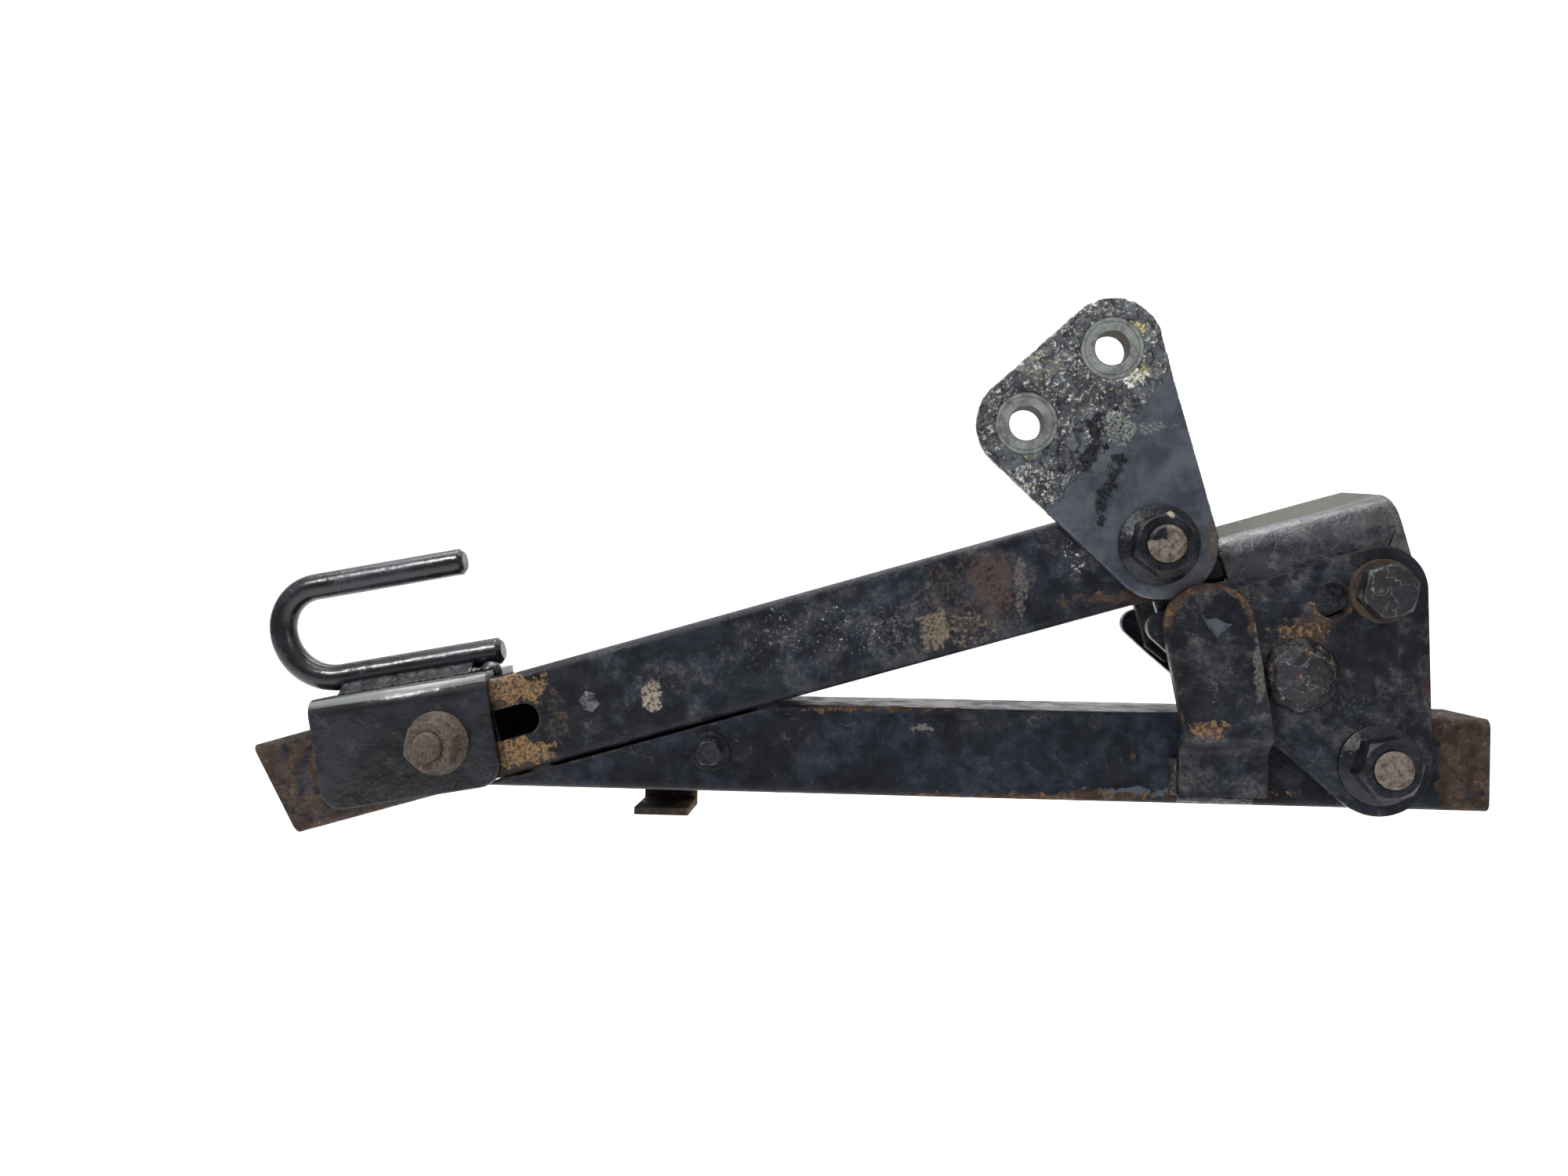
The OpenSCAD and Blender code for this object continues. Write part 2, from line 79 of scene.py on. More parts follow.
# Sizes in metres, and the angle from which an edge is rounded
MM = 0.001
WELD_DISTANCE = 0.001 * MM
SHARP_EDGE = math.radians(50)
EDGE_ROUNDINGS = {
    "side_plate_front": 0.6 * MM,
    "side_plate_rear": 0.6 * MM,
    "stop_tab": 1.1 * MM,
    "latch_lug": 0.6 * MM,
    "channel_cover": 0.6 * MM,
    "hook_saddle": 0.6 * MM,
}
BUSH_RADIUS = 10.25 * MM
BUSH_BORE_RADIUS = 5.5 * MM

# Paint, metal and dirt, and the pale greys of painted highlights and glints, as linear colours
BLUE_BLACK = (0.0105, 0.0120, 0.0172)
SOOT = (0.0048, 0.0052, 0.0066)
NAVY = (0.016, 0.0195, 0.031)
SLATE = (0.050, 0.057, 0.072)
DUST = (0.085, 0.080, 0.074)
MUD = (0.135, 0.108, 0.076)
BEIGE = (0.23, 0.195, 0.150)
OLIVE = (0.043, 0.041, 0.033)
OCHRE = (0.17, 0.105, 0.050)
RED_BROWN = (0.060, 0.036, 0.031)
BROWN = (0.050, 0.036, 0.028)
DARK_RUST = (0.026, 0.017, 0.013)
ORANGE_RUST = (0.205, 0.100, 0.040)
STEEL = (0.145, 0.120, 0.098)
ZINC_AND_HIGHLIGHT = (0.205, 0.218, 0.203)
DARK_ZINC = (0.085, 0.092, 0.089)
GREY_GREEN = (0.17, 0.19, 0.165)
CHALK_AND_GLINT = (0.62, 0.62, 0.58)
YELLOW = (0.50, 0.42, 0.16)
FLOOR_GREY = (0.90, 0.90, 0.90)
FLOOR_WHITE = (0.93, 0.93, 0.93)


def across(node, u, w):
    """The point on the front of a CAD node's box, at shares u of its width and w of its height."""
    low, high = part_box(node)
    return Vector((low.x + u * (high.x - low.x), low.y, low.z + w * (high.z - low.z)))


def middle(node):
    """The middle of a CAD node's box."""
    low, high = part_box(node)
    return (low + high) / 2


class Surface:
    """A material being made. Each method adds a node or two and gives the socket they end in."""

    def __init__(self, name):
        self.material = bpy.data.materials.new(name)
        self.material.use_nodes = True
        self.tree = self.material.node_tree
        self.tree.nodes.clear()
        self.where = self.add("ShaderNodeTexCoord").outputs["Object"]
        self.geometry = self.add("ShaderNodeNewGeometry")
        self.normal = None

    def add(self, kind, **settings):
        """A new node of a kind."""
        node = self.tree.nodes.new(kind)
        for name, value in settings.items():
            setattr(node, name, value)
        return node

    def put(self, socket, value):
        """Links a socket to another one, or sets it to a number or a colour."""
        if isinstance(value, bpy.types.NodeSocket):
            self.tree.links.new(value, socket)
        elif socket.type == "RGBA":
            socket.default_value = (*value, 1.0)
        else:
            socket.default_value = value

    def calc(self, operation, *values):
        """A sum on numbers."""
        node = self.add("ShaderNodeMath", operation=operation)
        for socket, value in zip(node.inputs, values):
            self.put(socket, value)
        return node.outputs[0]

    def times(self, value, factor):
        """A number made larger or smaller."""
        return self.calc("MULTIPLY", value, factor)

    def vector(self, operation, *values, result=0):
        """A sum on vectors; result 1 is the output for a plain number."""
        node = self.add("ShaderNodeVectorMath", operation=operation)
        for socket, value in zip(node.inputs, values):
            self.put(socket, value)
        return node.outputs[result]

    def fade(self, value, start, end):
        """0 before start and 1 after end, or the other way round if end is the lower one."""
        node = self.add("ShaderNodeMapRange", interpolation_type="SMOOTHSTEP")
        flip = end < start
        self.put(node.inputs["Value"], value)
        self.put(node.inputs["From Min"], min(start, end))
        self.put(node.inputs["From Max"], max(start, end))
        self.put(node.inputs["To Min"], 1.0 if flip else 0.0)
        self.put(node.inputs["To Max"], 0.0 if flip else 1.0)
        return node.outputs["Result"]

    def noise(self, size, detail=3.0, roughness=0.6, stretch=(1, 1, 1), seed=0, lean=0.0):
        """Noise about 0 to 1 with features of a size in metres, stretched and leant in the front plane."""
        turned = self.add("ShaderNodeMapping", vector_type="TEXTURE")
        self.put(turned.inputs["Vector"], self.where)
        turned.inputs["Location"].default_value = (seed * 0.37, seed * 0.53, seed * 0.71)
        turned.inputs["Rotation"].default_value = (0, -lean, 0)
        turned.inputs["Scale"].default_value = stretch
        node = self.add("ShaderNodeTexNoise")
        self.put(node.inputs["Vector"], turned.outputs[0])
        self.put(node.inputs["Scale"], 1 / size)
        self.put(node.inputs["Detail"], detail)
        self.put(node.inputs["Roughness"], roughness)
        return node.outputs["Fac"]

    def cells(self, size, seed=0):
        """The distance to the edges of uneven cells of a size in metres."""
        shifted = self.vector("ADD", self.where, (seed * 0.31, seed * 0.17, seed * 0.23))
        node = self.add("ShaderNodeTexVoronoi", feature="DISTANCE_TO_EDGE")
        self.put(node.inputs["Vector"], shifted)
        self.put(node.inputs["Scale"], 1 / size)
        return node.outputs["Distance"]

    def mix(self, share, first, second):
        """One colour blended into another."""
        node = self.add("ShaderNodeMix", data_type="RGBA")
        self.put(node.inputs[0], share)
        self.put(node.inputs[6], first)
        self.put(node.inputs[7], second)
        return node.outputs[2]

    def blend(self, share, first, second):
        """One number blended into another."""
        node = self.add("ShaderNodeMix")
        self.put(node.inputs[0], share)
        self.put(node.inputs[2], first)
        self.put(node.inputs[3], second)
        return node.outputs[0]

    def both(self, first, second):
        """Where two masks overlap."""
        return self.calc("MULTIPLY", first, second)

    def either(self, first, second):
        """Where at least one of two masks is."""
        return self.calc("MAXIMUM", first, second)

    def spot(self, point, size, ragged=0.5, grain=0.004, seed=0):
        """1 inside an uneven ellipsoid of that half size in metres about a point, and 0 outside."""
        from_it = self.vector("SUBTRACT", self.where, tuple(point))
        scaled = self.vector("DIVIDE", from_it, tuple(size))
        distance = self.vector("LENGTH", scaled, result=1)
        broken = self.calc("SUBTRACT", self.noise(grain, 4, 0.65, seed=seed), 0.5)
        reach = self.calc("ADD", distance, self.times(broken, 4 * ragged))
        return self.fade(reach, 1.0, 0.86)

    def stain(self, point, size, cover, ragged=0.5, grain=0.004, speck=0.0011, seed=0):
        """A spot that shows the surface through it in specks, more of it covered towards cover 1."""
        specks = self.noise(speck, 4, 0.72, seed=seed + 90)
        broken = self.fade(specks, 0.68 - 0.42 * cover, 0.86 - 0.36 * cover)
        return self.both(self.spot(point, size, ragged, grain, seed), broken)

    def contour(self, size, width=0.010, seed=0):
        """Thin wandering lines."""
        away = self.calc("ABSOLUTE", self.calc("SUBTRACT", self.noise(size, 3, 0.55, seed=seed), 0.5))
        return self.fade(away, width, 0.4 * width)

    def past(self, point, direction, soft, ragged=0.0, grain=0.006, seed=0):
        """0 up to a plane through a point and 1 past it, along a direction."""
        from_it = self.vector("SUBTRACT", self.where, tuple(point))
        along = self.vector("DOT_PRODUCT", from_it, tuple(Vector(direction).normalized()), result=1)
        broken = self.calc("SUBTRACT", self.noise(grain, 4, 0.65, seed=seed), 0.5)
        reach = self.calc("ADD", along, self.times(broken, ragged))
        return self.fade(reach, 0.0, soft)

    def facing(self, direction, start, end):
        """1 where the surface faces along a direction, by the cosine of the angle between them."""
        dot = self.vector("DOT_PRODUCT", self.geometry.outputs["Normal"], direction, result=1)
        return self.fade(dot, start, end)

    def edges(self, width, start=0.02, end=0.12):
        """1 along edges, where the rounded normal turns away from the true one."""
        rounded = self.add("ShaderNodeBevel", samples=6)
        rounded.inputs["Radius"].default_value = width
        true = self.geometry.outputs["True Normal"]
        dot = self.vector("DOT_PRODUCT", rounded.outputs[0], true, result=1)
        return self.fade(dot, 1 - start, 1 - end)

    def round_edges(self, width):
        """Shades the edges as if they were rounded by that width."""
        rounded = self.add("ShaderNodeBevel", samples=6)
        rounded.inputs["Radius"].default_value = width
        self.normal = rounded.outputs[0]

    def bump(self, height, depth):
        """Relief on top of the rounded edges, depth metres for a height of 1."""
        node = self.add("ShaderNodeBump")
        self.put(node.inputs["Height"], height)
        node.inputs["Distance"].default_value = depth
        if self.normal is not None:
            self.put(node.inputs["Normal"], self.normal)
        self.normal = node.outputs[0]

    def finish(self, colour, roughness, metallic=0.0, specular=0.4):
        """Joins it all up and gives the material."""
        shader = self.add("ShaderNodeBsdfPrincipled")
        output = self.add("ShaderNodeOutputMaterial")
        self.put(shader.inputs["Base Color"], colour)
        self.put(shader.inputs["Roughness"], roughness)
        self.put(shader.inputs["Metallic"], metallic)
        self.put(shader.inputs["Specular IOR Level"], specular)
        if self.normal is not None:
            self.put(shader.inputs["Normal"], self.normal)
        self.put(output.inputs["Surface"], shader.outputs[0])
        return self.material


def rust(surface, seed=0, light=0.5):
    """The colour of rust, from dark brown to orange."""
    coarse = surface.noise(0.006, 5, 0.7, seed=seed)
    fine = surface.noise(0.0012, 4, 0.7, seed=seed + 1)
    base = surface.mix(surface.fade(coarse, 0.35, 0.62), DARK_RUST, BROWN)
    grains = surface.fade(fine, 0.66 - 0.2 * light, 0.80 - 0.2 * light)
    tint = surface.both(surface.fade(coarse, 0.42, 0.66), grains)
    return surface.mix(tint, base, ORANGE_RUST)


def patched(surface, colour, rough, patches, seed):
    """A colour and roughness with patches laid over them: (mask maker, colour or "rust", roughness) each."""
    for mask, tint, dull in patches:
        where = mask(surface)
        colour = surface.mix(where, colour, rust(surface, seed, 0.9) if tint == "rust" else tint)
        rough = surface.blend(where, rough, dull)
    return colour, rough


def worn_paint(name, patches=(), edge=0.6, dust=0.5, chips=0.5, gloss=0.36, seed=0, bare=None, shine=0.12):
    """Blue-black satin paint with dust, flecks, scratches and rusty edges, and gone where bare says."""
    s = Surface(name)
    s.round_edges(0.7 * MM)
    broad = s.noise(0.035, 4, 0.6, seed=seed)
    cloudy = s.noise(0.009, 5, 0.68, seed=seed + 2)
    fine = s.noise(0.0016, 4, 0.7, seed=seed + 3)
    colour = s.mix(s.fade(broad, 0.36, 0.66), BLUE_BLACK, NAVY)
    colour = s.mix(s.times(s.fade(cloudy, 0.54, 0.36), 0.7), colour, SOOT)
    dusty = s.fade(s.calc("ADD", cloudy, s.times(dust, 0.10)), 0.50, 0.74)
    film = s.both(dusty, s.fade(fine, 0.32, 0.7))
    peeled = s.fade(s.noise(0.020, 7, 0.62, seed=seed + 14), 0.505, 0.520)
    film = s.times(film, s.blend(peeled, 1.0, 0.35))
    colour = s.mix(s.times(film, dust), colour, DUST)
    colour = s.mix(s.times(peeled, 0.45), colour, SOOT)
    scratches = s.fade(s.noise(0.0035, 2, 0.5, (1, 1, 0.10), seed + 4, 0.5), 0.735, 0.765)
    streaks = s.fade(s.noise(0.0035, 2, 0.5, (0.10, 1, 1), seed + 5, 0.25), 0.745, 0.775)
    runs = s.both(s.contour(0.014, 0.006, seed + 13), s.fade(cloudy, 0.50, 0.62))
    marks = s.either(s.both(s.either(scratches, streaks), s.fade(broad, 0.45, 0.6)), runs)
    colour = s.mix(s.times(marks, 0.5), colour, DUST)
    flecks = s.both(s.fade(s.noise(0.0011, 2, 0.6, seed=seed + 6), 0.72, 0.76), s.fade(cloudy, 0.46, 0.58))
    colour = s.mix(s.times(flecks, dust), colour, BEIGE)
    spots = s.both(s.fade(s.noise(0.0022, 3, 0.7, seed=seed + 7), 0.71, 0.75), s.fade(broad, 0.48, 0.62))
    rough = s.blend(s.fade(cloudy, 0.4, 0.7), gloss - 0.06, gloss + 0.16)
    rough = s.blend(film, rough, 0.66)

    ragged = s.calc("ADD", s.noise(0.010, 5, 0.75, seed=seed + 9), 0.16 * (edge - 0.5))
    worn = s.both(s.edges(1.6 * MM, 0.01, 0.06), s.fade(ragged, 0.50, 0.56))
    chipped = s.either(worn, s.times(spots, chips))
    if bare is not None:
        chipped = s.either(chipped, bare(s))
    colour = s.mix(chipped, colour, rust(s, seed + 10, 0.6))
    rough = s.blend(chipped, rough, 0.8)
    colour, rough = patched(s, colour, rough, patches, seed + 11)

    skin = s.times(s.noise(0.0035, 3, 0.55, seed=seed + 12), 0.7)
    height = s.calc("ADD", skin, s.times(fine, 0.40))
    sunk = s.either(chipped, s.times(peeled, 0.5))
    height = s.calc("SUBTRACT", height, s.times(sunk, 0.30))
    crust = s.both(chipped, s.noise(0.0009, 3, 0.7, seed=seed))
    height = s.calc("ADD", height, s.times(crust, 0.7))
    s.bump(height, 0.55 * MM)
    return s.finish(colour, rough, specular=shine)


def smooth_paint(name, patches=(), seed=0, shine=0.2):
    """Thicker, glossier black paint with a soft sheen and small specks."""
    s = Surface(name)
    s.round_edges(0.9 * MM)
    broad = s.noise(0.022, 4, 0.6, seed=seed)
    fine = s.noise(0.0020, 4, 0.65, seed=seed + 1)
    colour = s.mix(s.fade(broad, 0.4, 0.65), SOOT, BLUE_BLACK)
    film = s.both(s.fade(s.noise(0.008, 5, 0.7, seed=seed + 2), 0.52, 0.7), s.fade(fine, 0.4, 0.65))
    colour = s.mix(s.times(film, 0.30), colour, SLATE)
    specks = s.fade(s.noise(0.0010, 2, 0.6, seed=seed + 3), 0.77, 0.80)
    colour = s.mix(s.times(specks, 0.6), colour, BEIGE)
    worn = s.both(s.edges(0.8 * MM), s.fade(s.noise(0.007, 4, 0.7, seed=seed + 4), 0.60, 0.68))
    colour = s.mix(worn, colour, rust(s, seed + 5, 0.6))
    rough = s.blend(s.fade(broad, 0.35, 0.7), 0.20, 0.30)
    rough = s.blend(s.either(film, worn), rough, 0.6)
    colour, rough = patched(s, colour, rough, patches, seed + 6)
    height = s.calc("ADD", s.noise(0.006, 3, 0.5, seed=seed + 7), s.times(fine, 0.22))
    s.bump(height, 0.32 * MM)
    return s.finish(colour, rough, specular=shine)


def undercoat(name, border, away, patches=(), seed=0):
    """Thick glossy underbody coat up to a border, and smooth worn paint past it, in the direction away."""
    s = Surface(name)
    thin = s.past(border, away, 2.5 * MM, 14 * MM, 0.008, seed)
    lumps = s.noise(0.0036, 4, 0.65, seed=seed + 1)
    fine = s.noise(0.0013, 4, 0.7, seed=seed + 2)
    cloudy = s.noise(0.010, 5, 0.65, seed=seed + 3)
    colour = s.mix(s.fade(cloudy, 0.40, 0.62), BLUE_BLACK, SLATE)
    scuffed = s.both(s.fade(cloudy, 0.44, 0.60), s.fade(fine, 0.48, 0.62))
    colour = s.mix(s.times(scuffed, 0.30), colour, GREY_GREEN)
    # Pale and gold specks: flecks in the coat that also serve as painted glints.
    pale = s.both(s.fade(s.noise(0.0014, 4, 0.7, seed=seed + 4), 0.54, 0.64), s.fade(lumps, 0.44, 0.58))
    colour = s.mix(s.times(pale, 0.8), colour, CHALK_AND_GLINT)
    gold_specks_and_glints = s.both(s.fade(s.noise(0.0030, 4, 0.7, seed=seed + 5), 0.58, 0.68), s.fade(fine, 0.44, 0.56))
    colour = s.mix(s.times(gold_specks_and_glints, 0.5), colour, YELLOW)
    cracks = s.both(s.fade(s.cells(0.006, seed=seed), 0.06, 0.02), s.fade(lumps, 0.52, 0.46))
    colour = s.mix(s.times(cracks, 0.8), colour, SOOT)
    plain = s.mix(s.fade(cloudy, 0.36, 0.66), NAVY, SLATE)
    film = s.both(s.fade(cloudy, 0.45, 0.7), s.fade(fine, 0.35, 0.7))
    plain = s.mix(s.times(film, 0.8), plain, SLATE)
    colour = s.mix(thin, colour, plain)
    rough = s.blend(thin, s.blend(s.fade(fine, 0.4, 0.6), 0.08, 0.26), 0.34)
    worn = s.both(s.edges(1.0 * MM), s.fade(s.noise(0.008, 4, 0.7, seed=seed + 6), 0.55, 0.65))
    colour = s.mix(s.both(worn, thin), colour, rust(s, seed + 7, 0.8))
    colour, rough = patched(s, colour, rough, patches, seed + 8)
    relief = s.calc("ADD", lumps, s.times(fine, 0.5))
    relief = s.calc("SUBTRACT", relief, s.times(cracks, 0.3))
    even = s.calc("ADD", s.times(lumps, 0.25), s.times(fine, 0.12))
    s.bump(s.blend(thin, relief, even), 1.8 * MM)
    return s.finish(colour, rough, specular=0.5)


def painted_fastener(name, bare=None, patches=(), seed=0):
    """Glossy black paint run over a fastener, with its bare end where bare says."""
    s = Surface(name)
    s.round_edges(0.5 * MM)
    cloudy = s.noise(0.006, 4, 0.65, seed=seed)
    fine = s.noise(0.0012, 4, 0.7, seed=seed + 1)
    colour = s.mix(s.fade(cloudy, 0.4, 0.62), SOOT, BLUE_BLACK)
    film = s.both(s.fade(cloudy, 0.52, 0.66), s.fade(fine, 0.45, 0.6))
    colour = s.mix(s.times(film, 0.25), colour, SLATE)
    rough = s.blend(s.fade(cloudy, 0.35, 0.7), 0.14, 0.30)
    worn = s.both(s.edges(0.5 * MM), s.fade(s.noise(0.004, 4, 0.7, seed=seed + 2), 0.60, 0.67))
    colour = s.mix(worn, colour, rust(s, seed + 3, 0.7))
    if bare is not None:
        where = bare(s)
        metal = s.mix(s.fade(s.noise(0.002, 5, 0.7, seed=seed + 4), 0.35, 0.6), BROWN, STEEL)
        metal = s.mix(s.fade(fine, 0.5, 0.68), metal, BROWN)
        colour = s.mix(where, colour, metal)
        rough = s.blend(where, rough, 0.62)
    colour, rough = patched(s, colour, rough, patches, seed + 8)
    height = s.calc("ADD", s.noise(0.0035, 3, 0.5, seed=seed + 5), s.times(fine, 0.3))
    s.bump(height, 0.60 * MM)
    return s.finish(colour, rough, specular=0.22)


def rusty_fastener(name, seed, pale):
    """Bare fastener steel, brown with rust and pitted, greyer towards pale 1."""
    s = Surface(name)
    s.round_edges(0.6 * MM)
    cloudy = s.noise(0.005, 5, 0.7, seed=seed)
    fine = s.noise(0.0009, 4, 0.7, seed=seed + 1)
    colour = s.mix(s.fade(cloudy, 0.38, 0.60), DARK_RUST, BROWN)
    colour = s.mix(s.times(s.fade(fine, 0.42, 0.62), pale), colour, STEEL)
    tinted = s.fade(s.noise(0.0028, 4, 0.7, seed=seed + 2), 0.60, 0.70)
    colour = s.mix(s.times(tinted, 0.35), colour, ORANGE_RUST)
    colour = s.mix(s.times(s.fade(cloudy, 0.62, 0.70), 0.7), colour, SOOT)
    height = s.calc("ADD", s.noise(0.0022, 4, 0.6, seed=seed + 3), s.times(fine, 0.6))
    s.bump(height, 0.55 * MM)
    return s.finish(colour, s.blend(s.fade(fine, 0.4, 0.65), 0.40, 0.72), specular=0.2)


def bare_steel(name, seed=0):
    """Plain steel inside the joints: dull grey with brown stain."""
    s = Surface(name)
    s.round_edges(0.4 * MM)
    stain = s.noise(0.006, 5, 0.7, seed=seed)
    fine = s.noise(0.001, 4, 0.7, seed=seed + 1)
    colour = s.mix(s.fade(stain, 0.38, 0.62), STEEL, BROWN)
    colour = s.mix(s.fade(fine, 0.55, 0.72), colour, DARK_RUST)
    s.bump(fine, 0.2 * MM)
    return s.finish(colour, s.blend(s.fade(stain, 0.35, 0.65), 0.42, 0.72), s.blend(stain, 0.7, 0.1))


def zinc(name, holes, bore, seed=0):
    """Mottled zinc bush rims with a thin groove and the gap round them painted dark as shade, and rust in
    the bores.
    """
    s = Surface(name)
    s.round_edges(0.4 * MM)
    cloudy = s.noise(0.0045, 5, 0.7, seed=seed)
    fine = s.noise(0.0010, 4, 0.7, seed=seed + 1)
    colour = s.mix(s.fade(cloudy, 0.36, 0.60), DARK_ZINC, ZINC_AND_HIGHLIGHT)
    colour = s.mix(s.times(s.fade(fine, 0.56, 0.68), 0.7), colour, SLATE)
    rough = s.blend(s.fade(fine, 0.35, 0.65), 0.36, 0.62)
    radius = None
    for hole in holes:
        from_it = s.vector("MULTIPLY", s.vector("SUBTRACT", s.where, tuple(hole)), (1, 0, 1))
        away = s.vector("LENGTH", from_it, result=1)
        radius = away if radius is None else s.calc("MINIMUM", radius, away)
    # Painted shade: a thin dark ring standing in for a groove.
    past_inner = s.fade(radius, bore + 2.9 * MM, bore + 3.1 * MM)
    before_outer = s.fade(radius, bore + 3.5 * MM, bore + 3.3 * MM)
    groove_shade = s.both(past_inner, before_outer)
    colour = s.mix(s.times(groove_shade, 0.5), colour, SOOT)
    # Painted shade: the outer edge darkened for the gap round the bush.
    rim = s.fade(radius, bore + 4.2 * MM, bore + 4.6 * MM)
    colour = s.mix(s.times(rim, 0.7), colour, SOOT)
    inner = s.fade(radius, bore + 0.35 * MM, bore + 0.1 * MM)
    colour = s.mix(inner, colour, rust(s, seed + 4, 0.4))
    rough = s.blend(inner, rough, 0.8)
    s.bump(s.calc("ADD", cloudy, s.times(fine, 0.5)), 0.3 * MM)
    return s.finish(colour, rough, s.blend(inner, 0.35, 0.0))


def weld_paint(name, seed, spots):
    """Paint over a lumpy weld, with spots of rust coming through and pale hairline cracks."""
    s = Surface(name)
    lumps = s.noise(0.004, 4, 0.6, seed=seed)
    fine = s.noise(0.0012, 4, 0.7, seed=seed + 1)
    colour = s.mix(s.fade(lumps, 0.4, 0.62), SOOT, BLUE_BLACK)
    patchy = s.fade(s.noise(0.0036, 4, 0.7, seed=seed + 2), 0.60 - 0.06 * spots, 0.66)
    through = s.both(patchy, s.fade(fine, 0.35, 0.5))
    rusty = s.mix(s.fade(fine, 0.5, 0.6), rust(s, seed + 3, 0.9), OCHRE)
    colour = s.mix(s.times(through, spots), colour, rusty)
    lines = s.both(s.contour(0.009, 0.008, seed + 4), s.fade(fine, 0.40, 0.50))
    colour = s.mix(s.times(lines, 0.5), colour, ZINC_AND_HIGHLIGHT)
    rough = s.blend(through, s.blend(lumps, 0.22, 0.42), 0.8)
    s.bump(s.calc("ADD", lumps, s.times(fine, 0.5)), 0.8 * MM)
    return s.finish(colour, rough, specular=0.3)


def stain_on(node, u, w, size, cover, tint, dull, ragged, grain, speck, seed):
    """A patch for a finish: a speckled stain on the front of a node, with its half size in mm."""
    at = across(node, u, w)
    half = tuple(part * MM for part in size)
    return (lambda s: s.stain(at, half, cover, ragged, grain, speck, seed), tint, dull)


def spot_on(node, u, w, size, tint, dull, ragged, grain, seed):
    """A patch for a finish: a solid spot on the front of a node, with its half size in mm."""
    at = across(node, u, w)
    half = tuple(part * MM for part in size)
    return (lambda s: s.spot(at, half, ragged, grain, seed), tint, dull)


def dress(node, material):
    """Gives a CAD node its material, in every slot it has."""
    mesh = NODES[node].data
    if not mesh.materials:
        mesh.materials.append(material)
    for i in range(len(mesh.materials)):
        mesh.materials[i] = material


def weld(piece):
    """Joins the points that lie on each other, which the modifiers after it need."""
    modifier = piece.modifiers.new("weld", "WELD")
    modifier.merge_threshold = WELD_DISTANCE


def grown(node, name, voxel, shift, material):
    """Puts in a CAD node's place a fine mesh of it whose surface is moved by shift(point, normal) metres.

    No point leaves the CAD model's box.
    """
    copy = NODES[node].copy()
    copy.data = NODES[node].data.copy()
    copy.name = name
    copy.data.name = name
    bpy.context.scene.collection.objects.link(copy)
    for key in list(copy.keys()):
        if key.startswith("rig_"):
            del copy[key]
    weld(copy)
    remesh = copy.modifiers.new("remesh", "REMESH")
    remesh.mode = "VOXEL"
    remesh.voxel_size = voxel
    body = NODES[node]["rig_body"]
    copy.parent = None
    graph = bpy.context.evaluated_depsgraph_get()
    fine = bpy.data.meshes.new_from_object(copy.evaluated_get(graph))
    copy.modifiers.clear()
    copy.data = fine
    points = [v.co.copy() for v in fine.vertices]
    normals = [v.normal.copy() for v in fine.vertices]
    for vertex, point, normal in zip(fine.vertices, points, normals):
        moved = point + normal * shift(point, normal)
        vertex.co = Vector(map(max, map(min, moved, CAD_BOX[1]), CAD_BOX[0]))
    fine.materials.clear()
    fine.materials.append(material)
    for polygon in fine.polygons:
        polygon.use_smooth = True
    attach(copy, body)
    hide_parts(node)


def lumpy(size, depth, seed):
    """A shift for grown() that raises and dents the surface in lumps of a size and depth in metres."""
    offset = Vector((seed * 3.1, seed * 1.7, seed * 2.3))

    def shift(point, normal):
        coarse = noise.noise(point / size + offset)
        small = noise.noise(point / (size * 0.35) + offset)
        return depth * max(-1, coarse + 0.4 * small)

    return shift


# ---------------------------------------------------------------- the pieces

